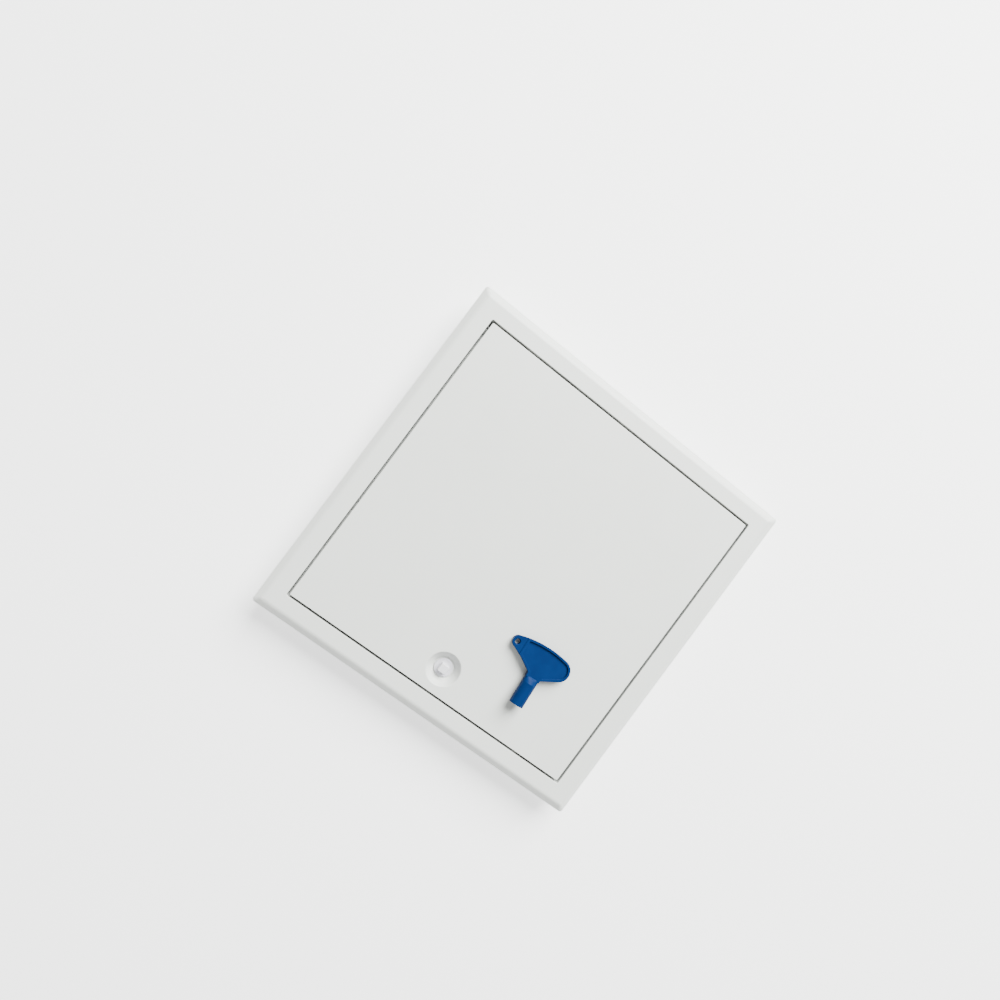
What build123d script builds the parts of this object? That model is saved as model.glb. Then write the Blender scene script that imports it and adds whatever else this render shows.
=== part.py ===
from build123d import *
from math import atan2, cos, degrees, radians, sin
import os

# Moulded deck hatch: a square frame that is screwed to a deck, a hinged lid that lies flush in it,
# a quarter-turn lock in a round dish of the lid, and the loose socket key that turns the lock.
# Millimetres. The deck surface is z = 0, the middle of the hatch is x = y = 0, the hinge is at +Y.

os.makedirs("parts", exist_ok=True)

# frame, outside
outer_size = 375.0
frame_height = 16.0
outer_corner = 3.0
bevel_width = 7.0
bevel_drop = 5.0
crest_corner = 2.6
crest_rounding = 7.0
foot_rounding = 1.2
skin = 3.0

# lid and the gap round it
lid_size = 323.1
lid_corner = 1.2
lid_gap = 2.4
lid_rounding = 0.5
opening_corner = 1.6
opening_rounding = 0.3
lid_plate = 2.5
lid_skirt = 2.5
skirt_bottom = 9.0

# gutter, upstand and neck inside the frame
gutter_floor = 3.5
neck_outer = 303.0
neck_inner = 298.0
neck_bottom = -22.0
upstand_top = gutter_floor + 1.5
neck_outer_corner = 9.0
neck_inner_corner = 6.5
upstand_rounding = 0.6

# fixing screws, hidden in the gutter
fixing_half = 157.5
fixing_corner = 110.0
fixing_hole_radius = 2.5
fixing_head_radius = 4.7

# hinge
pin_radius = 1.5
pin_length = 28.0
pin_press_depth = 10.0
pin_chamfer = 0.3
pin_inset = 6.0
running_gap = 0.05
block_half_width = 3.2
block_floor = 2.0
screw_pitch = 9.5

# lock in the lid
lock_inset = 26.0
dish_radius = 17.3
dish_rounding = 1.5
dish_floor_radius = 10.5
dish_depth = 9.0
dish_wall = 2.5
bush_radius = 8.0
bush_flange_radius = 9.5
bush_flange = 1.4
bush_rounding = 0.6
bush_wall = 1.2
gasket_thickness = 0.6
shaft_radius = 5.0
stud_side = 9.0
stud_height = 6.25
drive_side = 7.0
nut_across_flats = 21.0
nut_thickness = 4.0
cam_reach = 12.3
cam_width = 12.0
cam_thickness = 3.0
cam_top = -6.0
hub_radius = 7.0
washer_thickness = 0.75
flat_washer = 1.0
stop_washer = 1.45
stop_tab_width = 3.6
stop_heading = 45.0
stop_half_window = 62.0
stop_window_reach = 12.0

# catch on the neck that the cam turns under
catch_top = -2.0
catch_thickness = 3.5
catch_reach = 5.0
catch_length = 44.0
gusset_half_width = 1.2
gusset_inset = 1.5
gusset_drop = 9.0
wall_root = 0.5

# key
key_tube_radius = 7.5
key_stem = 24.0
key_neck = 6.0
key_length = 64.0
key_rim_half = 3.5
key_web_half = 1.5
key_socket_side = 9.4
key_socket_depth = 14.0
key_hole_radius = 2.6
key_tab_half = 2.6
key_tab_start = -24.5
key_tab_length = 20.0
key_corner_rounding = 1.8
key_hole_rounding = 0.9
key_end = (76.8, -120.8)
key_heading = 3.2

# values that follow from the ones above
lid_top = frame_height
lid_half = lid_size / 2
lid_under = lid_top - lid_plate
rebate_half = lid_half + lid_gap
pin_y = lid_half - pin_inset
pin_z = lid_under - running_gap - pin_radius
lock_y = -(lid_half - lock_inset)
dish_floor = lid_top - dish_depth
dish_under = dish_floor - dish_wall
bush_seat = dish_floor + gasket_thickness
bush_top = bush_seat + bush_flange
bush_bottom = -1.0
stud_bottom = bush_top + running_gap
cam_bottom = cam_top - cam_thickness
spring_bottom = bush_bottom - running_gap - washer_thickness
stop_bottom = spring_bottom - running_gap - stop_washer
hub_top = stop_bottom - running_gap
stop_inner = bush_radius - bush_wall
neck_half = neck_inner / 2


def lies_at(height):
    """Test for edges that lie in one level plane."""
    return lambda edge: abs(edge.center().Z - height) < 0.01 and edge.bounding_box().size.Z < 0.01


def inside_square(half):
    """Test for edges whose middle is inside a square round the origin."""
    return lambda edge: max(abs(edge.center().X), abs(edge.center().Y)) < half


# ---- frame -------------------------------------------------------------------------------------
pocket_count = 9
pocket_rib = 2.4
pocket_run = 290.0
pocket_land = 0.5
pocket_pitch = pocket_run / pocket_count
pocket_inner = rebate_half + skin
pocket_low_outer = outer_size / 2 - skin
pocket_high_outer = outer_size / 2 - bevel_width - pocket_land
pocket_low_top = 8.5
pocket_high_top = frame_height - skin
bevel_bottom = frame_height - bevel_drop

with BuildPart() as frame:
    with BuildSketch(Plane.XY):
        RectangleRounded(outer_size, outer_size, outer_corner)
    extrude(amount=bevel_bottom)
    crest_size = outer_size - 2 * bevel_width
    with BuildSketch(Plane.XY.offset(bevel_bottom)):
        RectangleRounded(outer_size, outer_size, outer_corner)
    with BuildSketch(Plane.XY.offset(frame_height)):
        RectangleRounded(crest_size, crest_size, crest_corner)
    loft(ruled=True)
    fillet(frame.edges().filter_by(lies_at(bevel_bottom)), foot_rounding)
    fillet(frame.edges().filter_by(lies_at(frame_height)), crest_rounding)
    # rebate that the lid lies in
    with BuildSketch(Plane.XY.offset(gutter_floor)):
        RectangleRounded(2 * rebate_half, 2 * rebate_half, opening_corner)
    extrude(amount=frame_height - gutter_floor, mode=Mode.SUBTRACT)
    opening_edges = frame.edges().filter_by(lies_at(frame_height)).filter_by(inside_square(rebate_half + 1))
    fillet(opening_edges, opening_rounding)
    # pockets under the flange, with a rib left between each two
    pocket_steps = ((pocket_low_top, pocket_low_outer), (pocket_high_top, pocket_high_outer))
    for pocket_top, pocket_outer in pocket_steps:
        pocket_middle = (pocket_inner + pocket_outer) / 2
        with BuildSketch(Plane.XY):
            for quarter in range(4):
                with Locations(Rot(Z=90 * quarter) * Pos(pocket_middle, 0)):
                    with GridLocations(1, pocket_pitch, 1, pocket_count):
                        Rectangle(pocket_outer - pocket_inner, pocket_pitch - pocket_rib)
        extrude(amount=pocket_top, mode=Mode.SUBTRACT)
    # neck that goes through the deck, and the upstand that the seal closes on
    with BuildSketch(Plane.XY.offset(neck_bottom)):
        RectangleRounded(neck_outer, neck_outer, neck_outer_corner)
    extrude(amount=upstand_top - neck_bottom)
    with BuildSketch(Plane.XY.offset(neck_bottom)):
        RectangleRounded(neck_inner, neck_inner, neck_inner_corner)
    extrude(amount=upstand_top - neck_bottom, mode=Mode.SUBTRACT)
    fillet(frame.edges().filter_by(lies_at(upstand_top)), upstand_rounding)
    # catch for the cam, with a gusset at each end
    catch_centre = -neck_half + catch_reach / 2
    catch_bottom = catch_top - catch_thickness
    with BuildSketch(Plane.XY.offset(catch_bottom)):
        with Locations((0, catch_centre - wall_root)):
            Rectangle(catch_length, catch_reach + 2 * wall_root)
    extrude(amount=catch_thickness)
    gusset_x = catch_length / 2 - gusset_inset
    for side in (-1, 1):
        with BuildSketch(Plane.YZ.offset(side * gusset_x)):
            with BuildLine():
                Polyline(
                    (-neck_half - wall_root, catch_bottom),
                    (-neck_half + catch_reach, catch_bottom),
                    (-neck_half, catch_bottom - gusset_drop),
                    (-neck_half - wall_root, catch_bottom - gusset_drop),
                    close=True,
                )
            make_face()
        extrude(amount=gusset_half_width, both=True)
    # countersunk fixing holes in the floor of the gutter
    fixing_places = []
    for quarter in range(4):
        for along in (-fixing_corner, 0, fixing_corner):
            place = Vector(fixing_half, along, 0).rotate(Axis.Z, 90 * quarter)
            fixing_places.append((place.X, place.Y, gutter_floor))
    with Locations(*fixing_places):
        CounterSinkHole(fixing_hole_radius, fixing_head_radius, depth=gutter_floor, counter_sink_angle=90)
    # blind holes that the hinge pins are pressed into
    for side in (-1, 1):
        with BuildSketch(Plane.YZ.offset(side * rebate_half)):
            with Locations((pin_y, pin_z)):
                Circle(pin_radius)
        extrude(amount=side * (pin_press_depth + 0.1), mode=Mode.SUBTRACT)
frame.part.label = "frame"
export_step(frame.part, "parts/frame.step")

# ---- lid ---------------------------------------------------------------------------------------
seal_top = 7.9
rib_bottom = 6.0
seal_rib = 1.5
outer_rib_outer = lid_half - 8
outer_rib_inner = outer_rib_outer - seal_rib
inner_rib_outer = lid_half - 13
inner_rib_inner = inner_rib_outer - seal_rib
groove_outer_corner = 8.0
groove_inner_corner = 5.0
grid_rib = 2.0
grid_pitch = 36.0
grid_count = 8
grid_bottom = 8.0
web_count = 12
block_front = pin_y - block_half_width
block_back = pin_y + block_half_width
foot_start = 122.0
foot_end = 141.0
room_start = foot_start - 2
room_end = lid_half - lid_skirt
pad_bottom = lid_under - 2.5
notch_half = pin_radius + 0.2

with BuildPart() as lid:
    with BuildSketch(Plane.XY.offset(lid_under)):
        RectangleRounded(lid_size, lid_size, lid_corner)
    extrude(amount=lid_plate)
    fillet(lid.edges().filter_by(lies_at(lid_top)), lid_rounding)
    with BuildSketch(Plane.XY.offset(skirt_bottom)):
        RectangleRounded(lid_size, lid_size, lid_corner)
        RectangleRounded(lid_size - 2 * lid_skirt, lid_size - 2 * lid_skirt, 1, mode=Mode.SUBTRACT)
    extrude(amount=lid_under - skirt_bottom)
    # two ribs that hold the seal between them
    with BuildSketch(Plane.XY.offset(rib_bottom)):
        RectangleRounded(2 * outer_rib_outer, 2 * outer_rib_outer, groove_outer_corner + seal_rib)
        RectangleRounded(2 * outer_rib_inner, 2 * outer_rib_inner, groove_outer_corner, mode=Mode.SUBTRACT)
        RectangleRounded(2 * inner_rib_outer, 2 * inner_rib_outer, groove_inner_corner)
        RectangleRounded(
            2 * inner_rib_inner, 2 * inner_rib_inner, groove_inner_corner - seal_rib, mode=Mode.SUBTRACT)
    extrude(amount=lid_under - rib_bottom)
    # short webs across the groove, which the back of the seal rests on
    with BuildSketch(Plane.XY.offset(seal_top)):
        for quarter in range(4):
            with Locations(Rot(Z=90 * quarter) * Pos((outer_rib_inner + inner_rib_outer) / 2, 0)):
                with GridLocations(1, 25, 1, web_count):
                    Rectangle(outer_rib_inner - inner_rib_outer + 0.4, 1.5)
    extrude(amount=lid_under - seal_top)
    # stiffening grid
    with BuildSketch(Plane.XY.offset(grid_bottom)):
        with GridLocations(grid_pitch, 1, grid_count, 1):
            Rectangle(grid_rib, 2 * inner_rib_inner + 1)
        with GridLocations(1, grid_pitch, 1, grid_count):
            Rectangle(2 * inner_rib_inner + 1, grid_rib)
    extrude(amount=lid_under - grid_bottom)
    # dish for the lock: outside first, then the hollow
    lock_plane = Plane(origin=(0, lock_y, 0), x_dir=(1, 0, 0), z_dir=(0, -1, 0))
    with BuildSketch(lock_plane):
        with BuildLine():
            Polyline(
                (0, dish_under),
                (dish_floor_radius + 2, dish_under),
                (dish_floor_radius + 2.3, dish_floor),
                (dish_radius + 1.6, lid_under + 0.5),
                (0, lid_under + 0.5),
                close=True,
            )
        make_face()
    revolve(axis=Axis((0, lock_y, 0), (0, 0, 1)))
    with BuildSketch(lock_plane):
        with BuildLine():
            Polyline(
                (0, dish_floor),
                (dish_floor_radius, dish_floor),
                (dish_radius, lid_top),
                (0, lid_top),
                close=True,
            )
        make_face()
    revolve(axis=Axis((0, lock_y, 0), (0, 0, 1)), mode=Mode.SUBTRACT)
    dish_rim = lid.edges().filter_by(GeomType.CIRCLE).filter_by(lies_at(lid_top))
    fillet(dish_rim.filter_by(lambda edge: abs(edge.radius - dish_radius) < 0.01), dish_rounding)
    dish_foot = lid.edges().filter_by(GeomType.CIRCLE).filter_by(lies_at(dish_floor))
    fillet(dish_foot.filter_by(lambda edge: abs(edge.radius - dish_floor_radius) < 0.01), dish_rounding)
    with Locations((0, lock_y, dish_floor)):
        Hole(bush_radius + 0.1)
    # the groove runs on past the outside of the dish
    with BuildSketch(Plane.XY.offset(rib_bottom - 2)):
        RectangleRounded(2 * outer_rib_inner, 2 * outer_rib_inner, groove_outer_corner)
        RectangleRounded(2 * inner_rib_outer, 2 * inner_rib_outer, groove_inner_corner, mode=Mode.SUBTRACT)
    extrude(amount=seal_top - rib_bottom + 2, mode=Mode.SUBTRACT)
    # hinge corners: room for the blocks, pads for their screws, notches for the pins
    for side in (-1, 1):
        with BuildSketch(Plane.XY.offset(rib_bottom)):
            with Locations((side * (room_start + room_end) / 2, (block_front + block_back) / 2 - 0.1)):
                Rectangle(room_end - room_start, block_back - block_front + 0.6)
        extrude(amount=lid_under - rib_bottom, mode=Mode.SUBTRACT)
        with BuildSketch(Plane.XY.offset(pad_bottom)):
            with Locations((side * (foot_start + foot_end - 0.5) / 2, pin_y)):
                Rectangle(foot_end - foot_start - 0.5, 2 * block_half_width)
        extrude(amount=lid_plate + 0.01)
        with BuildSketch(Plane.XY.offset(pad_bottom)):
            with Locations((side * (foot_start + foot_end) / 2, pin_y)):
                with GridLocations(screw_pitch, 1, 2, 1):
                    Circle(pin_radius)
        extrude(amount=3.5, mode=Mode.SUBTRACT)
        with BuildSketch(Plane.YZ.offset(side * (lid_half - lid_skirt - 1))):
            with Locations((pin_y, pin_z)):
                Circle(notch_half)
            with Locations((pin_y, (pin_z + skirt_bottom - 1) / 2)):
                Rectangle(2 * notch_half, pin_z - skirt_bottom + 1)
        extrude(amount=side * (lid_skirt + 2), mode=Mode.SUBTRACT)
lid.part.label = "lid"
export_step(lid.part, "parts/lid.step")

# ---- seal --------------------------------------------------------------------------------------
seal_gap = 0.1
with BuildPart() as lid_seal:
    with BuildSketch(Plane.XY.offset(upstand_top + seal_gap)):
        seal_outer = 2 * (outer_rib_inner - seal_gap)
        seal_inner = 2 * (inner_rib_outer + seal_gap)
        RectangleRounded(seal_outer, seal_outer, groove_outer_corner - seal_gap)
        RectangleRounded(seal_inner, seal_inner, groove_inner_corner + seal_gap, mode=Mode.SUBTRACT)
    extrude(amount=seal_top - upstand_top - seal_gap)
    fillet(lid_seal.edges().filter_by(lies_at(upstand_top + seal_gap)), 1.2)
lid_seal.part.label = "lid_seal"
export_step(lid_seal.part, "parts/lid_seal.step")

# ---- hinge: pins, bearing blocks and their screws ------------------------------------------------
block_bottom = pin_z - pin_radius - running_gap - block_floor
block_end = lid_half - lid_skirt - 1
pin_start = rebate_half + pin_press_depth - pin_length
head_radius = 2.8
head_height = 2.0
head_rounding = 0.9
recess_length = 3.0
recess_width = 0.7
recess_depth = 1.1
screw_bite = 3.4

for side, name in ((-1, "left"), (1, "right")):
    with BuildPart() as hinge_pin:
        with BuildSketch(Plane.YZ.offset(side * pin_start)):
            with Locations((pin_y, pin_z)):
                Circle(pin_radius)
        extrude(amount=side * pin_length)
        chamfer(hinge_pin.edges(), pin_chamfer)
    hinge_pin.part.label = "hinge_pin_" + name
    export_step(hinge_pin.part, "parts/hinge_pin_" + name + ".step")

    with BuildPart() as hinge_block:
        with BuildSketch(Plane.XY.offset(block_bottom)):
            with Locations((side * (foot_start + block_end) / 2, pin_y)):
                RectangleRounded(block_end - foot_start, 2 * block_half_width, 1)
        extrude(amount=pad_bottom - running_gap - block_bottom)
        with BuildSketch(Plane.XY.offset(block_bottom)):
            with Locations((side * (foot_end + block_end) / 2, pin_y)):
                RectangleRounded(block_end - foot_end, 2 * block_half_width, 1)
        extrude(amount=lid_under - block_bottom)
        with BuildSketch(Plane.YZ.offset(side * (pin_start - 1))):
            with Locations((pin_y, pin_z)):
                Circle(pin_radius + running_gap)
            with Locations((pin_y, (pin_z + lid_under + 1) / 2)):
                Rectangle(2 * (pin_radius + running_gap), lid_under + 1 - pin_z)
        extrude(amount=side * (block_end - pin_start + 2), mode=Mode.SUBTRACT)
        with BuildSketch(Plane.XY.offset(block_bottom)):
            with Locations((side * (foot_start + foot_end) / 2, pin_y)):
                with GridLocations(screw_pitch, 1, 2, 1):
                    Circle(pin_radius)
        extrude(amount=pad_bottom - block_bottom, mode=Mode.SUBTRACT)
    hinge_block.part.label = "hinge_block_" + name
    export_step(hinge_block.part, "parts/hinge_block_" + name + ".step")

    with BuildPart() as hinge_screws:
        with BuildSketch(Plane.XY.offset(block_bottom - head_height)):
            with Locations((side * (foot_start + foot_end) / 2, pin_y)):
                with GridLocations(screw_pitch, 1, 2, 1):
                    Circle(head_radius)
        extrude(amount=head_height)
        fillet(hinge_screws.edges().filter_by(lies_at(block_bottom - head_height)), head_rounding)
        with BuildSketch(Plane.XY.offset(block_bottom)):
            with Locations((side * (foot_start + foot_end) / 2, pin_y)):
                with GridLocations(screw_pitch, 1, 2, 1):
                    Circle(pin_radius)
        extrude(amount=pad_bottom + screw_bite - block_bottom)
        with BuildSketch(Plane.XY.offset(block_bottom - head_height)):
            with Locations((side * (foot_start + foot_end) / 2, pin_y)):
                with GridLocations(screw_pitch, 1, 2, 1):
                    Rectangle(recess_length, recess_width)
                    Rectangle(recess_width, recess_length)
        extrude(amount=recess_depth, mode=Mode.SUBTRACT)
    hinge_screws.part.label = "hinge_screws_" + name
    export_step(hinge_screws.part, "parts/hinge_screws_" + name + ".step")

# ---- lock: bush, gasket and nut stay with the lid ------------------------------------------------
lock_axis = Axis((0, lock_y, 0), (0, 0, 1))

with BuildPart() as latch_bush:
    with BuildSketch(Plane.XY.offset(bush_seat)):
        with Locations((0, lock_y)):
            Circle(bush_flange_radius)
    extrude(amount=bush_flange)
    fillet(latch_bush.edges().filter_by(lies_at(bush_top)), bush_rounding)
    with BuildSketch(Plane.XY.offset(bush_bottom)):
        with Locations((0, lock_y)):
            Circle(bush_radius)
    extrude(amount=bush_seat - bush_bottom)
    # wall below the bush, open over the quarter turn that the stop washer's tab makes
    with BuildSketch(Plane.XY.offset(stop_bottom)):
        with Locations((0, lock_y)):
            Circle(bush_radius)
            Circle(stop_inner, mode=Mode.SUBTRACT)
            with BuildLine():
                window_x = stop_window_reach * cos(radians(stop_half_window))
                window_y = stop_window_reach * sin(radians(stop_half_window))
                Polyline(
                    (0, lock_y),
                    (window_x, lock_y + window_y),
                    (stop_window_reach, lock_y + window_y),
                    (stop_window_reach, lock_y - window_y),
                    (window_x, lock_y - window_y),
                    close=True,
                )
            make_face(mode=Mode.SUBTRACT)
    extrude(amount=bush_bottom - stop_bottom)
    with Locations((0, lock_y, bush_top)):
        Hole(shaft_radius + running_gap)
latch_bush.part.label = "latch_bush"
export_step(latch_bush.part, "parts/latch_bush.step")

with BuildPart() as bush_gasket:
    with BuildSketch(Plane.XY.offset(dish_floor)):
        with Locations((0, lock_y)):
            Circle(bush_flange_radius - 0.8)
            Circle(bush_radius + 0.1, mode=Mode.SUBTRACT)
    extrude(amount=gasket_thickness)
bush_gasket.part.label = "bush_gasket"
export_step(bush_gasket.part, "parts/bush_gasket.step")

with BuildPart() as bush_nut:
    with BuildSketch(Plane.XY.offset(dish_under - nut_thickness)):
        with Locations((0, lock_y)):
            RegularPolygon(nut_across_flats / 2, 6, major_radius=False)
    extrude(amount=nut_thickness)
    chamfer(bush_nut.edges().filter_by(lies_at(dish_under - nut_thickness)), 0.8)
    with Locations((0, lock_y, dish_under)):
        Hole(bush_radius)
bush_nut.part.label = "bush_nut"
export_step(bush_nut.part, "parts/bush_nut.step")

# ---- lock: the pieces that turn ------------------------------------------------------------------
ring_section = 0.8
ring_height = 4.0
ring_floor = shaft_radius - 2 * ring_section
screw_radius = 2.5
screw_depth = 9.0

with BuildPart() as latch_spindle:
    with BuildSketch(Plane.XY.offset(spring_bottom - running_gap)):
        with Locations((0, lock_y)):
            Circle(shaft_radius)
    extrude(amount=stud_bottom - spring_bottom + running_gap)
    with BuildSketch(Plane.XY.offset(stud_bottom)):
        with Locations((0, lock_y)):
            RectangleRounded(stud_side, stud_side, 0.9)
    extrude(amount=stud_height)
    chamfer(latch_spindle.edges().filter_by(lies_at(stud_bottom + stud_height)), 0.5)
    with BuildSketch(Plane.XY.offset(cam_bottom + 0.1)):
        with Locations((0, lock_y)):
            Rectangle(drive_side, drive_side)
    extrude(amount=spring_bottom - running_gap - cam_bottom - 0.1)
    with BuildSketch(Plane.XY.offset(ring_height - ring_section - 0.1)):
        with Locations((0, lock_y)):
            Circle(shaft_radius + 1)
            Circle(ring_floor, mode=Mode.SUBTRACT)
    extrude(amount=2 * ring_section + 0.2, mode=Mode.SUBTRACT)
    with BuildSketch(Plane.XY.offset(cam_bottom)):
        with Locations((0, lock_y)):
            Circle(screw_radius)
    extrude(amount=screw_depth, mode=Mode.SUBTRACT)
latch_spindle.part.label = "latch_spindle"
export_step(latch_spindle.part, "parts/latch_spindle.step")

with BuildPart() as spindle_o_ring:
    with BuildSketch(Plane(origin=(0, lock_y, 0), x_dir=(1, 0, 0), z_dir=(0, -1, 0))):
        with Locations((shaft_radius - ring_section, ring_height)):
            Circle(ring_section)
    revolve(axis=lock_axis)
spindle_o_ring.part.label = "spindle_o_ring"
export_step(spindle_o_ring.part, "parts/spindle_o_ring.step")

with BuildPart() as cam_spring_washer:
    with BuildSketch(Plane.XY.offset(spring_bottom)):
        with Locations((0, lock_y)):
            Circle(stop_inner - 0.2)
            Circle(shaft_radius + 0.1, mode=Mode.SUBTRACT)
    extrude(amount=washer_thickness)
cam_spring_washer.part.label = "cam_spring_washer"
export_step(cam_spring_washer.part, "parts/cam_spring_washer.step")

with BuildPart() as stop_tab_washer:
    with BuildSketch(Plane.XY.offset(stop_bottom)):
        with Locations((0, lock_y)):
            Circle(stop_inner - 0.2)
        with Locations(Pos(0, lock_y) * Rot(Z=stop_heading) * Pos(bush_radius / 2 - 0.1, 0)):
            Rectangle(bush_radius - 0.2, stop_tab_width)
        with Locations((0, lock_y)):
            Rectangle(drive_side, drive_side, mode=Mode.SUBTRACT)
    extrude(amount=stop_washer)
stop_tab_washer.part.label = "stop_tab_washer"
export_step(stop_tab_washer.part, "parts/stop_tab_washer.step")

with BuildPart() as cam:
    with BuildSketch(Plane.XY.offset(cam_bottom)):
        with Locations((0, lock_y)):
            Circle(cam_reach)
        with Locations((cam_reach / 2, lock_y)):
            Rectangle(cam_reach, cam_width, mode=Mode.INTERSECT)
        with Locations((0, lock_y)):
            Circle(hub_radius + 0.6)
    extrude(amount=cam_thickness)
    with BuildSketch(Plane.XY.offset(cam_top)):
        with Locations((0, lock_y)):
            Circle(hub_radius)
    extrude(amount=hub_top - cam_top)
    with BuildSketch(Plane.XY.offset(cam_bottom)):
        with Locations((0, lock_y)):
            Rectangle(drive_side, drive_side)
    extrude(amount=hub_top - cam_bottom, mode=Mode.SUBTRACT)
    chamfer(cam.faces().filter_by(lambda f: abs(f.center().Z - cam_top) < 0.01).edges().filter_by(
        lambda edge: edge.center().X > cam_reach - 1.5), 0.8)
cam.part.label = "cam"
export_step(cam.part, "parts/cam.step")

with BuildPart() as cam_washer:
    with BuildSketch(Plane.XY.offset(cam_bottom - flat_washer)):
        with Locations((0, lock_y)):
            Circle(hub_radius - 0.5)
            Circle(screw_radius, mode=Mode.SUBTRACT)
    extrude(amount=flat_washer)
cam_washer.part.label = "cam_washer"
export_step(cam_washer.part, "parts/cam_washer.step")

cam_screw_head = 3.0
cam_screw_head_radius = 4.5
cam_screw_hex = 3.0
cam_screw_hex_depth = 2.0
with BuildPart() as cam_screw:
    with BuildSketch(Plane.XY.offset(cam_bottom - flat_washer - cam_screw_head)):
        with Locations((0, lock_y)):
            Circle(cam_screw_head_radius)
    extrude(amount=cam_screw_head)
    fillet(cam_screw.edges().filter_by(lies_at(cam_bottom - flat_washer - cam_screw_head)), 1)
    with BuildSketch(Plane.XY.offset(cam_bottom - flat_washer)):
        with Locations((0, lock_y)):
            Circle(screw_radius)
    extrude(amount=screw_depth)
    with BuildSketch(Plane.XY.offset(cam_bottom - flat_washer - cam_screw_head)):
        with Locations((0, lock_y)):
            RegularPolygon(cam_screw_hex / 2, 6, major_radius=False)
    extrude(amount=cam_screw_hex_depth, mode=Mode.SUBTRACT)
cam_screw.part.label = "cam_screw"
export_step(cam_screw.part, "parts/cam_screw.step")

# ---- key ---------------------------------------------------------------------------------------
# It lies on the lid on two lines, the inner end of its round tube and the far edge of its head,
# so its open end stands a little clear of the lid.
neck_end = key_stem + key_neck
key_tilt = atan2(key_tube_radius - key_rim_half, key_length - key_stem)
heading = radians(key_heading)
key_height = lid_top + running_gap + key_stem * sin(key_tilt) + key_tube_radius * cos(key_tilt)
key_origin = (key_end[0], key_end[1], key_height)
key_right = (cos(heading), sin(heading), 0)
key_along = Vector(-sin(heading) * cos(key_tilt), cos(heading) * cos(key_tilt), -sin(key_tilt))
key_up = Vector(*key_right).cross(key_along)
key_plane = Plane(origin=key_origin, x_dir=key_right, z_dir=key_up)
tube_plane = Plane(origin=key_origin, x_dir=key_right, z_dir=key_along)


def is_outline_corner(edge):
    """True for the short edges across the head's thickness, apart from the two in the neck."""
    middle = key_plane.to_local_coords(edge.center())
    return abs(middle.Z) < 0.1 and middle.Y > neck_end


with BuildPart() as key:
    with BuildSketch(key_plane):
        with BuildLine():
            low_right = Line((key_tube_radius, 31.4), (24.0, 40.4))
            lobe = ThreePointArc(low_right @ 1, (30.0, 51.6), (19.5, 62.0))
            far_edge = ThreePointArc(lobe @ 1, (-4.5, key_length), (-34.5, 58.8))
            tab = ThreePointArc(far_edge @ 1, (-37.6, 52.0), (-32.0, 46.8))
            low_left = Polyline(tab @ 1, (-20.5, 41.5), (-key_tube_radius, 33.4))
            neck_line = neck_end - 1
            Polyline(low_left @ 1, (-key_tube_radius, neck_line), (key_tube_radius, neck_line), low_right @ 0)
        make_face()
    extrude(amount=key_rim_half, both=True)
    fillet(key.edges().filter_by(is_outline_corner), key_corner_rounding)
    # web: a shallow pocket in each face, which leaves a rim and a solid tab
    for face_side in (-1, 1):
        with BuildSketch(key_plane.offset(face_side * key_web_half)):
            with BuildLine():
                pocket_low_right = Line((8.2, 34.2), (22.6, 42.8))
                pocket_lobe = ThreePointArc(pocket_low_right @ 1, (27.6, 51.6), (18.9, 59.8))
                pocket_far = ThreePointArc(pocket_lobe @ 1, (-3.0, 61.7), (-22.0, 59.6))
                pocket_left = Polyline(pocket_far @ 1, (-22.0, 45.0), (-5.4, 34.8), (-3.6, neck_end + 0.7))
                pocket_neck = ThreePointArc(pocket_left @ 1, (0.2, neck_end + 0.1), (4.4, neck_end + 0.4))
                Line(pocket_neck @ 1, pocket_low_right @ 0)
            make_face()
        extrude(amount=face_side * (key_rim_half - key_web_half + 1), mode=Mode.SUBTRACT)
        # the tab round the lanyard hole is a little thinner than the rim
        with BuildSketch(key_plane.offset(face_side * key_tab_half)):
            with Locations((key_tab_start - key_tab_length / 2, (key_stem + key_length) / 2 + 8)):
                Rectangle(key_tab_length, key_length - key_stem)
        extrude(amount=face_side * key_rim_half, mode=Mode.SUBTRACT)
    with BuildSketch(tube_plane):
        Circle(key_tube_radius)
    extrude(amount=key_stem)
    # the round tube flattens into the head
    with BuildSketch(tube_plane.offset(key_stem)):
        Circle(key_tube_radius)
    with BuildSketch(tube_plane.offset(neck_end)):
        RectangleRounded(2 * key_tube_radius, 2 * key_rim_half, key_rim_half - 0.5)
    loft()
    with BuildSketch(tube_plane):
        Rectangle(key_socket_side, key_socket_side)
    extrude(amount=key_socket_depth, mode=Mode.SUBTRACT)
    with BuildSketch(key_plane.offset(-key_tube_radius)):
        with Locations((-32.3, 52.9)):
            Circle(key_hole_radius)
    extrude(amount=2 * key_tube_radius, mode=Mode.SUBTRACT)
    hole_rim = key.edges().filter_by(GeomType.CIRCLE)
    fillet(hole_rim.filter_by(lambda edge: abs(edge.radius - key_hole_radius) < 0.01), key_hole_rounding)
key.part.label = "key"
export_step(key.part, "parts/key.step")
print("key tilt", round(degrees(key_tilt), 2), "key end height", round(key_height, 2))
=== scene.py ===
# %% [markdown]
# # A moulded deck hatch with its key
#
# The hatch is a square plastic frame, a lid that lies flush in it, and a quarter-turn lock in a
# round dish of the lid. The engineering model already holds every part at its true size and
# place. This file gives those parts their finishes, adds the small moulded and rubber details
# that a machine drawing leaves out, and sets up the floor, the lights and the camera.
#
# Everything is in metres. The deck surface is z = 0, and the hinge side of the hatch is +Y.

# %% Load the parts
import math

import bmesh
import bpy
from mathutils import Matrix, Vector


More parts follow.
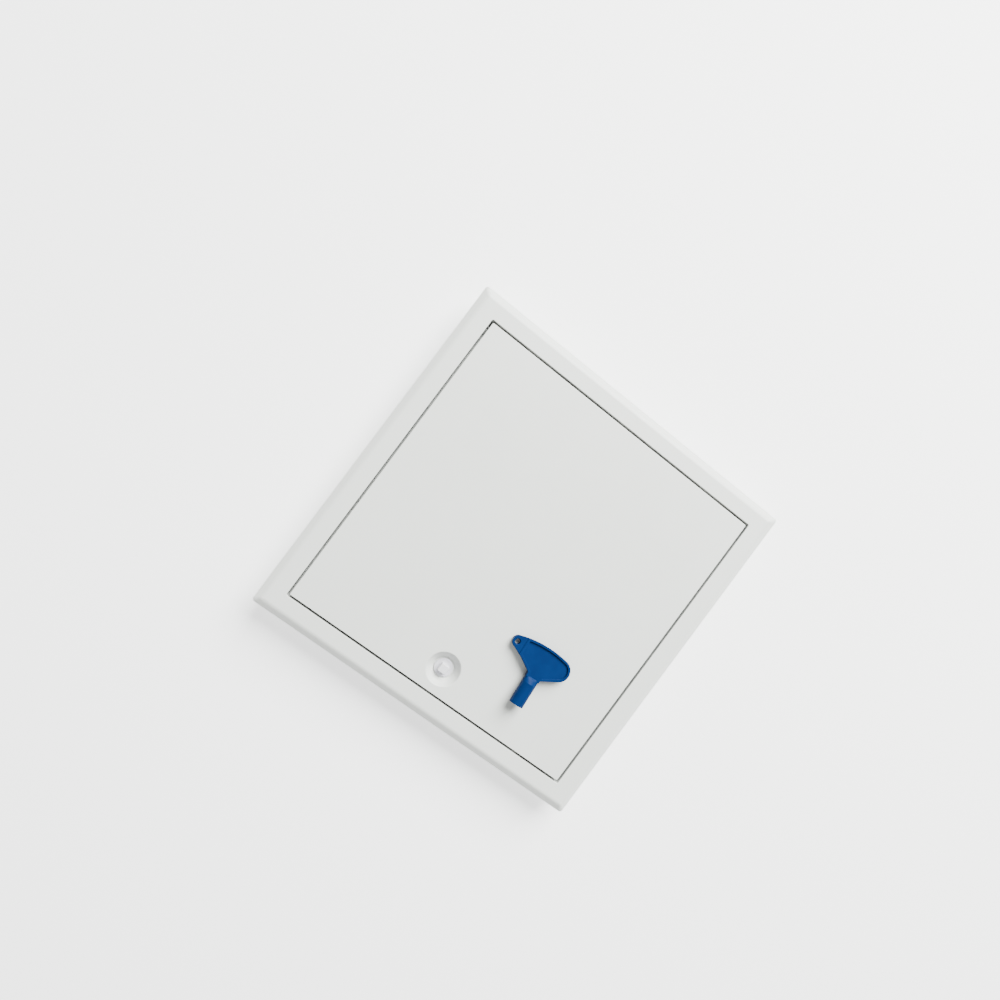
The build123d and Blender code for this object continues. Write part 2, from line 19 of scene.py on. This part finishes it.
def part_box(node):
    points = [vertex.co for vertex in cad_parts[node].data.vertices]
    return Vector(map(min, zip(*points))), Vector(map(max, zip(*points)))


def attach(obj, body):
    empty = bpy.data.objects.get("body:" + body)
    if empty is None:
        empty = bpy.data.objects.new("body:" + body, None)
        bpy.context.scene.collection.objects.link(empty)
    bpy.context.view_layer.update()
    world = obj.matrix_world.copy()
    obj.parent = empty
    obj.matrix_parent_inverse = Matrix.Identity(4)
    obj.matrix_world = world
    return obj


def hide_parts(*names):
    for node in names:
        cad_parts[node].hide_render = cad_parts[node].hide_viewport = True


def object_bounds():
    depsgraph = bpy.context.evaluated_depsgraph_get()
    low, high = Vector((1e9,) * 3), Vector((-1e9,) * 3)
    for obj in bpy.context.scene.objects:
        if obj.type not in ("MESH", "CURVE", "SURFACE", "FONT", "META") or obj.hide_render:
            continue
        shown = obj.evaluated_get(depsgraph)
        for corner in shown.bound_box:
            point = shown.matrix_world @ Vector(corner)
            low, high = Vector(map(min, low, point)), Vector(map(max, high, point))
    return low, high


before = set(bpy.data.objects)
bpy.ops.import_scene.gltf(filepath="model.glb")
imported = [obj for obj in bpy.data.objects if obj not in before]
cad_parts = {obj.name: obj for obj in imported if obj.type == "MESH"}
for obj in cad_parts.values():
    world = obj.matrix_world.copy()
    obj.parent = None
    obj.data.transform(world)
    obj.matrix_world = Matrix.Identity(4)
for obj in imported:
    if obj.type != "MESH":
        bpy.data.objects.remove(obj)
cad_low, cad_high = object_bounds()
MM = 0.001

# %% [markdown]
# Sizes are read from the parts themselves, so a detail stays where it belongs if a part is
# made a little larger. A box is the lowest and highest corner of one part.

# %% Places taken from the parts
frame_high = Vector(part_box("frame")[1])
lid_high = Vector(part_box("lid")[1])
lid_top = lid_high.z
print("frame", round(2 * frame_high.x / MM, 1), "mm wide, lid top", round(lid_top / MM, 2), "mm")

# %% [markdown]
# ## Camera
#
# The hatch is seen from almost straight above, turned so that its corners point up, down, left
# and right. A camera could be turned with Euler angles, but they are hard to read for a view like
# this. Here it gets a place, a point to look at, and the compass heading that should run to
# the right of the picture. The three axes of the camera follow from those.

# %% Camera
camera_place = Vector((-99.6, -6.8, 651.7)) * MM
camera_target = Vector((-13.9, 0.3, 16.0)) * MM
heading_to_the_right = math.radians(36.54)
focal_length = 23.53
camera_shift = (-0.015, 0.05)

camera_data = bpy.data.cameras.new("camera")
camera_data.lens = focal_length
camera_data.sensor_width = 36
camera_data.shift_x, camera_data.shift_y = camera_shift
camera_data.clip_start = 0.01
camera = bpy.data.objects.new("camera", camera_data)
bpy.context.scene.collection.objects.link(camera)

backward = (camera_place - camera_target).normalized()
sideways = Vector((math.cos(heading_to_the_right), math.sin(heading_to_the_right), 0))
sideways = (sideways - backward * sideways.dot(backward)).normalized()
upward = backward.cross(sideways)
turn = Matrix((sideways, upward, backward)).transposed().to_4x4()
camera.matrix_world = Matrix.Translation(camera_place) @ turn
bpy.context.scene.camera = camera
print("camera is", round((camera_place - camera_target).length, 3), "m away")

# %% [markdown]
# ## Building materials from nodes
#
# Every finish here is a Principled shader whose colour, roughness and bump come from noise. The
# first helper makes the shader, and small functions add one thing each: a noise, a colour
# blend, a bump. Coordinates are the part's own position in metres, so a noise scale of 1000
# makes grains of about a millimetre on every part alike.

# %% Helpers for node materials
def new_finish(name, **sockets):
    """A Principled material with constant sockets set by name. Returns material, tree, shader."""
    material = bpy.data.materials.new(name)
    material.use_nodes = True
    tree = material.node_tree
    shader = tree.nodes["Principled BSDF"]
    for socket, value in sockets.items():
        shader.inputs[socket.replace("_", " ")].default_value = value
    return material, tree, shader


def noise(tree, scale, detail=2.0, stretch=(1, 1, 1), roughness=0.5):
    """A noise that runs from 0 to 1, in the part's own coordinates, stretched if asked."""
    place = tree.nodes.new("ShaderNodeTexCoord")
    mapping = tree.nodes.new("ShaderNodeMapping")
    mapping.inputs["Scale"].default_value = stretch
    texture = tree.nodes.new("ShaderNodeTexNoise")
    texture.inputs["Scale"].default_value = scale
    texture.inputs["Detail"].default_value = detail
    texture.inputs["Roughness"].default_value = roughness
    tree.links.new(place.outputs["Object"], mapping.inputs["Vector"])
    tree.links.new(mapping.outputs["Vector"], texture.inputs["Vector"])
    return texture.outputs["Fac"]


def spread(tree, value, low, high, new_low, new_high):
    """Maps the part from low to high of a value onto new_low to new_high, and clamps the rest."""
    node = tree.nodes.new("ShaderNodeMapRange")
    limits = zip(("From Min", "From Max", "To Min", "To Max"), (low, high, new_low, new_high))
    for socket, number in limits:
        node.inputs[socket].default_value = number
    tree.links.new(value, node.inputs["Value"])
    return node.outputs["Result"]


def blend_colours(tree, factor, first, second):
    """Blends two colours, or a colour socket and a colour, by a factor socket."""
    node = tree.nodes.new("ShaderNodeMix")
    node.data_type = "RGBA"
    tree.links.new(factor, node.inputs["Factor"])
    for socket, colour in (("A", first), ("B", second)):
        target = [item for item in node.inputs if item.name == socket and item.type == "RGBA"][0]
        if isinstance(colour, (tuple, list)):
            target.default_value = (*colour, 1)
        else:
            tree.links.new(colour, target)
    return [item for item in node.outputs if item.type == "RGBA"][0]


def add_bump(tree, height, strength, distance, normal=None):
    """A bump of a given height in metres, on top of another normal if one is given."""
    node = tree.nodes.new("ShaderNodeBump")
    node.inputs["Strength"].default_value = strength
    node.inputs["Distance"].default_value = distance
    tree.links.new(height, node.inputs["Height"])
    if normal is not None:
        tree.links.new(normal, node.inputs["Normal"])
    return node.outputs["Normal"]


print("noise, blend and bump helpers ready")

# %% [markdown]
# ## Finding edges and narrow gaps
#
# Edges are painted lighter, partly as rubbed wear and partly as a highlight, and narrow gaps are
# painted darker as shade. Painting masks for that by hand would have to be done again after
# each change of shape. The shading nodes can find both by themselves: a bevel node gives the
# normal of a rounded edge, and an ambient occlusion node tells how closed in a place is.
# The last helper puts a finish on parts.

# %% Helpers for edges, gaps and finishes
def soft_edges(tree, radius):
    """The normal of a surface whose sharp edges are rounded off by radius."""
    node = tree.nodes.new("ShaderNodeBevel")
    node.samples = 6
    node.inputs["Radius"].default_value = radius
    return node.outputs["Normal"]


def edge_mask(tree, radius):
    """Near 1 on sharp edges and 0 on flat faces: where the rounded and the true normal differ."""
    rounded = soft_edges(tree, radius)
    geometry = tree.nodes.new("ShaderNodeNewGeometry")
    dot = tree.nodes.new("ShaderNodeVectorMath")
    dot.operation = "DOT_PRODUCT"
    tree.links.new(rounded, dot.inputs[0])
    tree.links.new(geometry.outputs["Normal"], dot.inputs[1])
    return spread(tree, dot.outputs["Value"], 1.0, 0.8, 0.0, 1.0)


# The mask of the painted shade in narrow gaps, found by ambient occlusion.
def narrow_shade_mask(tree, reach, top):
    """Up to 0.75 where walls within reach close a place in below the level top, else 0."""
    node = tree.nodes.new("ShaderNodeAmbientOcclusion")
    node.samples = 8
    node.inputs["Distance"].default_value = reach
    closed_in = spread(tree, node.outputs["AO"], 0.1, 0.36, 0.75, 0.0)
    place = tree.nodes.new("ShaderNodeTexCoord")
    split = tree.nodes.new("ShaderNodeSeparateXYZ")
    tree.links.new(place.outputs["Object"], split.inputs["Vector"])
    below = spread(tree, split.outputs["Z"], top - 0.5 * MM, top - 0.1 * MM, 1, 0)
    both = tree.nodes.new("ShaderNodeMath")
    both.operation = "MULTIPLY"
    tree.links.new(closed_in, both.inputs[0])
    tree.links.new(below, both.inputs[1])
    return both.outputs["Value"]


def wear(material, *nodes):
    """Puts one material on every slot of the named parts."""
    for name in nodes:
        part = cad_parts[name]
        if not part.material_slots:
            part.data.materials.append(material)
        for material_slot in part.material_slots:
            material_slot.material = material


print("edge, gap and finish helpers ready")

# %% [markdown]
# ## Hatch plastic
#
# Frame and lid are moulded in the same off-white weatherproof plastic. It isn't one flat
# colour: the pigment clouds a little over a hand's breadth, there is a very fine speckle, and
# the tool leaves a spark-eroded grain that softens reflections. Sharp edges are painted a touch
# lighter, partly as wear where hands and shoes rub and partly as a painted highlight. Where two
# walls almost meet, as in the gap round the lid, the colour is painted near black as shade. An
# ambient occlusion node finds those narrow places, so the painted shade needs no drawn mask.
# The level top faces are left out of it: otherwise the key, which lies close above the lid,
# would leave painted shade on the lid under it.

# %% Hatch plastic
def hatch_plastic(name, colour, cloud, grain_height):
    material, tree, shader = new_finish(name, Roughness=0.4, IOR=1.5)
    shader.inputs["Coat Weight"].default_value = 0.05
    shader.inputs["Coat Roughness"].default_value = 0.25
    clouds = spread(tree, noise(tree, 9, 3), 0.35, 0.65, 0, 1)
    base = blend_colours(tree, clouds, colour, cloud)
    speckle = spread(tree, noise(tree, 2600, 1), 0.62, 0.8, 0, 0.22)
    base = blend_colours(tree, speckle, base, tuple(0.82 * part for part in colour))
    # Sharp edges are painted lighter: partly rubbed wear, partly a painted highlight.
    worn_and_lit_edges = edge_mask(tree, 1.0 * MM)
    base = blend_colours(tree, spread(tree, worn_and_lit_edges, 0, 1, 0, 0.3), base, edge_wear_and_highlight)
    # Places closed in by walls, such as the gap round the lid, get near-black painted shade.
    base = blend_colours(tree, narrow_shade_mask(tree, 9 * MM, lid_top), base, gap_painted_shade)
    tree.links.new(base, shader.inputs["Base Color"])
    sheen = spread(tree, noise(tree, 60, 4), 0.3, 0.7, 0.36, 0.48)
    tree.links.new(sheen, shader.inputs["Roughness"])
    grain = noise(tree, 1500, 3, roughness=0.6)
    normal = add_bump(tree, grain, 0.35, grain_height, soft_edges(tree, 0.35 * MM))
    tree.links.new(normal, shader.inputs["Normal"])
    return material


white = (0.70, 0.717, 0.685)
white_cloud = (0.685, 0.702, 0.67)
# The lighter edge colour: rubbed wear and a painted highlight.
edge_wear_and_highlight = (0.86, 0.86, 0.84)
# The near-black colour of the painted shade in narrow gaps.
gap_painted_shade = (0.09, 0.09, 0.095)
wear(hatch_plastic("frame_plastic", white, white_cloud, 0.05 * MM), "frame")
wear(hatch_plastic("lid_plastic", white, white_cloud, 0.04 * MM), "lid")
print("hatch plastic on frame and lid")

# %% [markdown]
# ## Nylon and acetal
#
# The lock's bush, its square stud and the nut are cut and moulded from nylon, which is whiter and
# cooler than the hatch and lets a little light in. A small subsurface weight gives that waxy
# look. The hinge blocks are acetal: the same kind of finish, slightly duller. The hinge pins are
# black acetal rod, so that they don't glint in the dark gap round the lid.

# %% Nylon and acetal
def engineering_plastic(name, colour, roughness, wax):
    material, tree, shader = new_finish(name, Roughness=roughness, IOR=1.53)
    shader.inputs["Subsurface Weight"].default_value = wax
    shader.inputs["Subsurface Scale"].default_value = 1.5 * MM
    shader.inputs["Subsurface Radius"].default_value = (1.0, 0.9, 0.8)
    tint = spread(tree, noise(tree, 140, 3), 0.35, 0.65, 0, 1)
    base = blend_colours(tree, tint, colour, tuple(0.94 * part for part in colour))
    tree.links.new(base, shader.inputs["Base Color"])
    sheen = spread(tree, noise(tree, 500, 3), 0.3, 0.7, roughness - 0.05, roughness + 0.08)
    tree.links.new(sheen, shader.inputs["Roughness"])
    marks = add_bump(tree, noise(tree, 2200, 2), 0.25, 0.02 * MM, soft_edges(tree, 0.2 * MM))
    tree.links.new(marks, shader.inputs["Normal"])
    return material


wear(engineering_plastic("bush_nylon", (0.64, 0.63, 0.68), 0.34, 0.15), "latch_bush")
wear(engineering_plastic("spindle_nylon", (0.74, 0.735, 0.77), 0.3, 0.15), "latch_spindle")
wear(engineering_plastic("nut_nylon", (0.72, 0.72, 0.72), 0.38, 0.15), "bush_nut")
wear(engineering_plastic("hinge_acetal", (0.74, 0.74, 0.71), 0.42, 0.1),
     "hinge_block_left", "hinge_block_right")
wear(engineering_plastic("pin_acetal", (0.012, 0.012, 0.013), 0.5, 0.0),
     "hinge_pin_left", "hinge_pin_right")
print("nylon and acetal done")

# %% [markdown]
# ## Key plastic
#
# The key is a strong blue, moulded in a tough satin plastic. Carried on a ring with other keys,
# it gets hairline scratches that catch the light, and its edges are painted paler, partly as
# rubbed colour and partly as a painted highlight. Scratches are a noise stretched so far that
# it becomes streaks.

# %% Key plastic
def key_plastic():
    material, tree, shader = new_finish("key_plastic", Roughness=0.48, IOR=1.5)
    shader.inputs["Specular IOR Level"].default_value = 0.06
    flow = spread(tree, noise(tree, 70, 4), 0.35, 0.65, 0, 1)
    base = blend_colours(tree, flow, (0.0, 0.017, 0.08), (0.0, 0.014, 0.068))
    # Edges go paler blue: partly rubbed colour, partly a painted highlight.
    worn_and_lit_edges = spread(tree, edge_mask(tree, 0.8 * MM), 0, 1, 0, 0.3)
    base = blend_colours(tree, worn_and_lit_edges, base, (0.0, 0.034, 0.17))
    tree.links.new(base, shader.inputs["Base Color"])
    sheen = spread(tree, noise(tree, 260, 4), 0.3, 0.7, 0.36, 0.5)
    tree.links.new(sheen, shader.inputs["Roughness"])
    grain = add_bump(tree, noise(tree, 1800, 2), 0.3, 0.03 * MM, soft_edges(tree, 0.4 * MM))
    scratches = spread(tree, noise(tree, 500, 1, stretch=(1, 0.06, 0.3)), 0.6, 0.72, 0, 1)
    grain = add_bump(tree, scratches, 0.2, 0.02 * MM, grain)
    tree.links.new(grain, shader.inputs["Normal"])
    return material


wear(key_plastic(), "key")
print("key plastic done")

# %% [markdown]
# ## Stainless steel
#
# Screws and washers are turned or pressed and then tumbled, so their marks run in no
# direction. The cam is cut from rolled sheet, and its marks are longer one way. Metal takes
# nearly all its look from roughness: the streaks change it from place to place.

# %% Stainless steel
def stainless(name, colour, stretch, roughness):
    material, tree, shader = new_finish(name, Metallic=1.0, Roughness=roughness)
    tarnish = spread(tree, noise(tree, 220, 4), 0.4, 0.7, 0, 1)
    base = blend_colours(tree, tarnish, colour, tuple(0.86 * part for part in colour))
    tree.links.new(base, shader.inputs["Base Color"])
    lines = noise(tree, 1200, 3, stretch=stretch)
    shine = spread(tree, lines, 0.3, 0.7, roughness - 0.08, roughness + 0.12)
    tree.links.new(shine, shader.inputs["Roughness"])
    marks = add_bump(tree, lines, 0.3, 0.012 * MM, soft_edges(tree, 0.12 * MM))
    tree.links.new(marks, shader.inputs["Normal"])
    return material


wear(stainless("screw_steel", (0.6, 0.6, 0.6), (1, 1, 1), 0.3), "hinge_screws_left", "hinge_screws_right",
     "cam_spring_washer", "stop_tab_washer", "cam_washer", "cam_screw")
wear(stainless("cam_steel", (0.58, 0.58, 0.59), (1, 0.3, 1), 0.36), "cam")
print("steel done")

# %% [markdown]
# ## Rubber
#
# The seal and the small rings are black rubber: dull, with a faint grey bloom where the mould
# powder stays in the pores. A high roughness and two sizes of noise do it.

# %% Rubber
def black_rubber(name):
    material, tree, shader = new_finish(name, Roughness=0.72, IOR=1.52)
    bloom = spread(tree, noise(tree, 180, 5), 0.5, 0.75, 0, 1)
    base = blend_colours(tree, bloom, (0.018, 0.018, 0.019), (0.05, 0.05, 0.05))
    tree.links.new(base, shader.inputs["Base Color"])
    dullness = spread(tree, noise(tree, 700, 3), 0.3, 0.7, 0.62, 0.82)
    tree.links.new(dullness, shader.inputs["Roughness"])
    pores = add_bump(tree, noise(tree, 2400, 3), 0.5, 0.04 * MM)
    tree.links.new(pores, shader.inputs["Normal"])
    return material


seal_rubber = black_rubber("seal_rubber")
wear(seal_rubber, "lid_seal")
wear(black_rubber("gasket_rubber"), "bush_gasket", "spindle_o_ring")
print("rubber done")

# %% [markdown]
# ## Rings made from a section
#
# The seal and the small moulding marks are all rings: one section carried round a closed
# path. A curve with a bevel object could do it, but its corners are hard to control. Here
# the path is a list of places with their outward directions, and each section point is
# given as how far out and how far up it lies, so the faces come out as clean quads.

# %% Helpers for rings
def new_piece(name, points, faces, material, smooth_angle=35):
    """A mesh piece with one material, smooth apart from edges sharper than smooth_angle."""
    mesh = bpy.data.meshes.new(name)
    mesh.from_pydata(points, [], faces)
    mesh.polygons.foreach_set("use_smooth", [True] * len(mesh.polygons))
    mesh.set_sharp_from_angle(angle=math.radians(smooth_angle))
    mesh.materials.append(material)
    piece = bpy.data.objects.new(name, mesh)
    bpy.context.scene.collection.objects.link(piece)
    return piece


def square_path(half, corner, corner_steps, side_steps):
    """Places and outward directions round a square with round corners, anticlockwise."""
    path = []
    for quarter in range(4):
        turn = Matrix.Rotation(math.radians(90 * quarter), 3, "Z")
        for step in range(1, side_steps):
            along = (half - corner) * (2 * step / side_steps - 1)
            path.append((turn @ Vector((half, along, 0)), turn @ Vector((1, 0, 0))))
        for step in range(corner_steps + 1):
            angle = math.radians(90 * step / corner_steps)
            out = Vector((math.cos(angle), math.sin(angle), 0))
            middle = Vector((half - corner, half - corner, 0))
            path.append((turn @ (middle + corner * out), turn @ out))
    return path


def ring_of(path, section, grow=lambda place: 1.0):
    """Points and faces of a section carried round a path. The section is a loop of (out, up)."""
    points = []
    for place, out in path:
        for across, height in section:
            points.append(place + out * across * grow(place) + Vector((0, 0, height)))
    count = len(section)
    faces = []
    for index in range(len(path)):
        following = (index + 1) % len(path)
        for edge in range(count):
            beside = (edge + 1) % count
            faces.append((index * count + edge, following * count + edge,
                          following * count + beside, index * count + beside))
    return points, faces


print("ring helpers ready")

# %% [markdown]
# ## Seal under the lid
#
# The seal is a soft extruded strip, pushed into the groove between two ribs under the lid and
# joined end to end. Its section is a bulb on a narrow neck, with a flat back that stands on
# the short webs, so it can bulge sideways when the lid closes. The bulb is most of an ellipse,
# worked out by a formula, and the joint is a short stretch where the section is a little wider.

# %% Seal
seal_low, seal_high = (Vector(corner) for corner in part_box("lid_seal"))
seal_thick = 3.3 * MM
seal_half_width = 0.48 * seal_thick
seal_half = seal_high.x - seal_thick / 2
seal_corner = 6.25 * MM
seal_back = seal_high.z
seal_height = seal_high.z - seal_low.z
joint_place = 40 * MM
joint_length = 2.6 * MM
joint_swell = 1.045


def seal_section(half_width, height, back, bulb_steps=12, bulb_start=38):
    """A flat back, a narrow neck and a round bulb that faces down."""
    neck = 0.62 * half_width
    one_side = [(half_width, back), (half_width, back - 0.16 * height),
                (neck, back - 0.24 * height), (neck, back - 0.34 * height)]
    bulb_centre = back - 0.62 * height
    bulb = []
    for step in range(bulb_steps + 1):
        angle = math.radians(bulb_start - step * (180 + 2 * bulb_start) / bulb_steps)
        bulb.append((half_width * math.cos(angle), bulb_centre + 0.38 * height * math.sin(angle)))
    other_side = [(-across, up) for across, up in reversed(one_side)]
    return one_side + bulb + other_side


def seal_joint(place):
    """How much wider the strip is at a place: a little where its two ends are joined."""
    at_joint = abs(place.x - joint_place) < joint_length / 2 and place.y > 0
    return joint_swell if at_joint else 1.0


seal_path = square_path(seal_half, seal_corner, 10, 240)
seal_profile = seal_section(seal_half_width, seal_height, seal_back)
seal = new_piece("seal_strip", *ring_of(seal_path, seal_profile, seal_joint), seal_rubber)
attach(seal, "lid")
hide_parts("lid_seal")
print("seal of", len(seal.data.polygons), "faces, half width", round(seal_half / MM, 2), "mm")

# %% [markdown]
# ## Marks of the moulding tool
#
# The pins that push a moulding out of its tool leave shallow rings on its hidden side, and
# the plastic enters at a gate, which leaves a small stub. Nobody sees them while the lid
# is shut, but a lid without them looks like a drawing when it is open. Each mark is a low
# ring or dome on the surface, made as one section carried round a circle. A bump texture
# would be easier, but it has no outline when seen from the side.

# %% Marks of the moulding tool
lid_plate = 2.5 * MM
lid_under = lid_top - lid_plate
gutter_floor = 3.5 * MM
gutter_middle = frame_high.x - 30 * MM
rib_pitch = 36 * MM
mark_proud = 0.16 * MM
mark_root = 0.1 * MM
mark_lip = 0.28 * MM


def circle_path(centre, radius, steps):
    """Places and outward directions round a level circle."""
    path = []
    for step in range(steps):
        angle = 2 * math.pi * step / steps
        out = Vector((math.cos(angle), math.sin(angle), 0))
        path.append((centre + radius * out, out))
    return path


def pin_mark(centre, radius, outward):
    """A rounded lip that stands a little proud of a level face. Outward is +1 up or -1 down."""
    proud = mark_proud * outward
    root = -mark_root * outward
    lip = mark_lip
    section = [(-lip, root), (-lip, 0.4 * proud), (-0.5 * lip, proud),
               (0.5 * lip, proud), (lip, 0.4 * proud), (lip, root)]
    if outward < 0:
        section.reverse()
    return ring_of(circle_path(centre, radius, 28), section)


def gather(name, marks, material, body):
    """One piece from many small meshes of the same finish."""
    points, faces = [], []
    for mark_points, mark_faces in marks:
        start = len(points)
        points += mark_points
        faces += [tuple(index + start for index in face) for face in mark_faces]
    piece = new_piece(name, points, faces, material, 60)
    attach(piece, body)
    return piece


lid_rows = [steps * rib_pitch for steps in (-3, -1, 1, 3)]
lid_places = [Vector((x, y, lid_under)) for x in lid_rows for y in lid_rows]
gather("lid_pin_marks", [pin_mark(place, 3 * MM, -1) for place in lid_places],
       bpy.data.materials["lid_plastic"], "lid")
gutter_places = []
for quarter in range(4):
    turn = Matrix.Rotation(math.radians(90 * quarter), 3, "Z")
    for along in (-55 * MM, 55 * MM):
        gutter_places.append(turn @ Vector((gutter_middle, along, gutter_floor)))
gather("gutter_pin_marks", [pin_mark(place, 2.5 * MM, 1) for place in gutter_places],
       bpy.data.materials["frame_plastic"], "frame")
print("pin marks:", len(lid_places), "under the lid,", len(gutter_places), "in the gutter")

# %% [markdown]
# ## Gate stub
#
# The stub is what stays when the runner is twisted off: a low cone with a torn, uneven top.
# It is turned from a profile, and its top ring is lifted and dropped a little by a sine wave,
# which is enough to look torn at this size.

# %% Gate stub
def gate_stub(centre, radius, height, steps=32):
    """A short cone that hangs from a level face and ends in a dished, wavy top."""
    rings = [(radius, 0.2 * MM), (0.86 * radius, -0.35 * height), (0.74 * radius, -height),
             (0.5 * radius, -0.9 * height), (0.22 * radius, -0.62 * height)]
    points = []
    for number, (ring_radius, drop) in enumerate(rings):
        for step in range(steps):
            angle = 2 * math.pi * step / steps
            torn = 0.12 * height * math.sin(3 * angle + 1) * (number == 2)
            across, along = ring_radius * math.cos(angle), ring_radius * math.sin(angle)
            points.append(centre + Vector((across, along, drop - torn)))
    faces = []
    for number in range(len(rings) - 1):
        for step in range(steps):
            beside = (step + 1) % steps
            faces.append((number * steps + beside, number * steps + step,
                          (number + 1) * steps + step, (number + 1) * steps + beside))
    faces.append(tuple(reversed([(len(rings) - 1) * steps + step for step in range(steps)])))
    faces.append(tuple(range(steps)))
    return points, faces


stub_radius = 1.9 * MM
stub_height = 0.9 * MM
stub = gather("gate_stub", [gate_stub(Vector((0, 0, lid_under)), stub_radius, stub_height)],
              bpy.data.materials["lid_plastic"], "lid")
print("gate stub", [round(v / MM, 2) for v in stub.dimensions], "mm")

# %% [markdown]
# ## Wave washer
#
# The lock turns without rattling because a thin spring washer is squeezed between the bush
# and the stop washer. A spring washer isn't flat: it is a ring of thin steel pressed into
# three waves. The section goes round a circle, and its height follows a cosine.

# %% Wave washer
washer_low, washer_high = (Vector(corner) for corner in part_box("cam_spring_washer"))
washer_steel = bpy.data.materials["screw_steel"]
washer_outer = (washer_high.x - washer_low.x) / 2
washer_inner = 5.15 * MM
washer_sheet = 0.3 * MM
wave_count = 3


def wave_washer(steps=96):
    """A ring of sheet steel with waves that fill the height of the flat one it stands for."""
    middle = (washer_inner + washer_outer) / 2
    half = (washer_outer - washer_inner) / 2
    swing = (washer_high.z - washer_low.z - washer_sheet) / 2
    centre = (washer_low + washer_high) / 2
    path = []
    for place, out in circle_path(centre, middle, steps):
        angle = math.atan2(place.y - centre.y, place.x - centre.x)
        path.append((place + Vector((0, 0, swing * math.cos(wave_count * angle))), out))
    sheet = washer_sheet / 2
    return ring_of(path, [(half, sheet), (half, -sheet), (-half, -sheet), (-half, sheet)])


washer = new_piece("wave_washer", *wave_washer(), washer_steel)
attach(washer, "latch")
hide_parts("cam_spring_washer")
print("wave washer", round(2 * washer_outer / MM, 1), "mm across")

# %% [markdown]
# ## Floor
#
# The hatch stands on its neck on a plain pale table. The floor is part of the stage, not of
# the object, so it is only a large flat square just below the lowest point of the model. It
# glows a little, which keeps it evenly pale without stronger lamps on the hatch.

# %% Floor
def plain_floor(height, half_size, glow):
    """A pale square floor with a barely visible unevenness in its colour."""
    mesh = bpy.data.meshes.new("floor")
    builder = bmesh.new()
    bmesh.ops.create_grid(builder, x_segments=2, y_segments=2, size=half_size)
    builder.to_mesh(mesh)
    builder.free()
    floor = bpy.data.objects.new("floor", mesh)
    floor.location.z = height
    bpy.context.scene.collection.objects.link(floor)
    material, tree, shader = new_finish("floor_paint", Roughness=0.85)
    paint = blend_colours(tree, noise(tree, 3, 2), (0.93, 0.93, 0.93), (0.92, 0.92, 0.92))
    tree.links.new(paint, shader.inputs["Base Color"])
    shader.inputs["Emission Color"].default_value = (1, 1, 1, 1)
    shader.inputs["Emission Strength"].default_value = glow
    mesh.materials.append(material)


floor_height = cad_low[2] - 0.1 * MM
plain_floor(floor_height, half_size=40.0, glow=1.2)
print("floor at", round(floor_height / MM, 2), "mm")

# %% [markdown]
# ## Light
#
# The light is soft and comes mostly from beyond the hinge side, a little from +X: that brightens
# the bevel on the hinge side, darkens the one on the lock side and lays the key's soft shadow
# towards the lock side. One big area lamp does this, a weaker one fills the shadows from the
# lock side, and a pale sky gives an even base.

# %% Light
def area_light(name, place, size, power, colour):
    """A square soft box at place that shines at the middle of the hatch."""
    data = bpy.data.lights.new(name, "AREA")
    data.size = size
    data.energy = power
    data.color = colour
    lamp = bpy.data.objects.new(name, data)
    lamp.location = place
    lamp.rotation_euler = (-Vector(place)).to_track_quat("-Z", "Y").to_euler()
    bpy.context.scene.collection.objects.link(lamp)


area_light("window", (0.3, 2.4, 2.1), 2.2, 520, (0.985, 1.0, 0.98))
area_light("fill", (0.6, -1.2, 2.0), 1.6, 10, (0.98, 0.99, 1.0))

world = bpy.data.worlds.new("sky")
bpy.context.scene.world = world
world.use_nodes = True
sky = world.node_tree.nodes["Background"]
sky.inputs["Color"].default_value = (0.985, 1.0, 0.995, 1)
sky.inputs["Strength"].default_value = 0.5
print("lights ready")
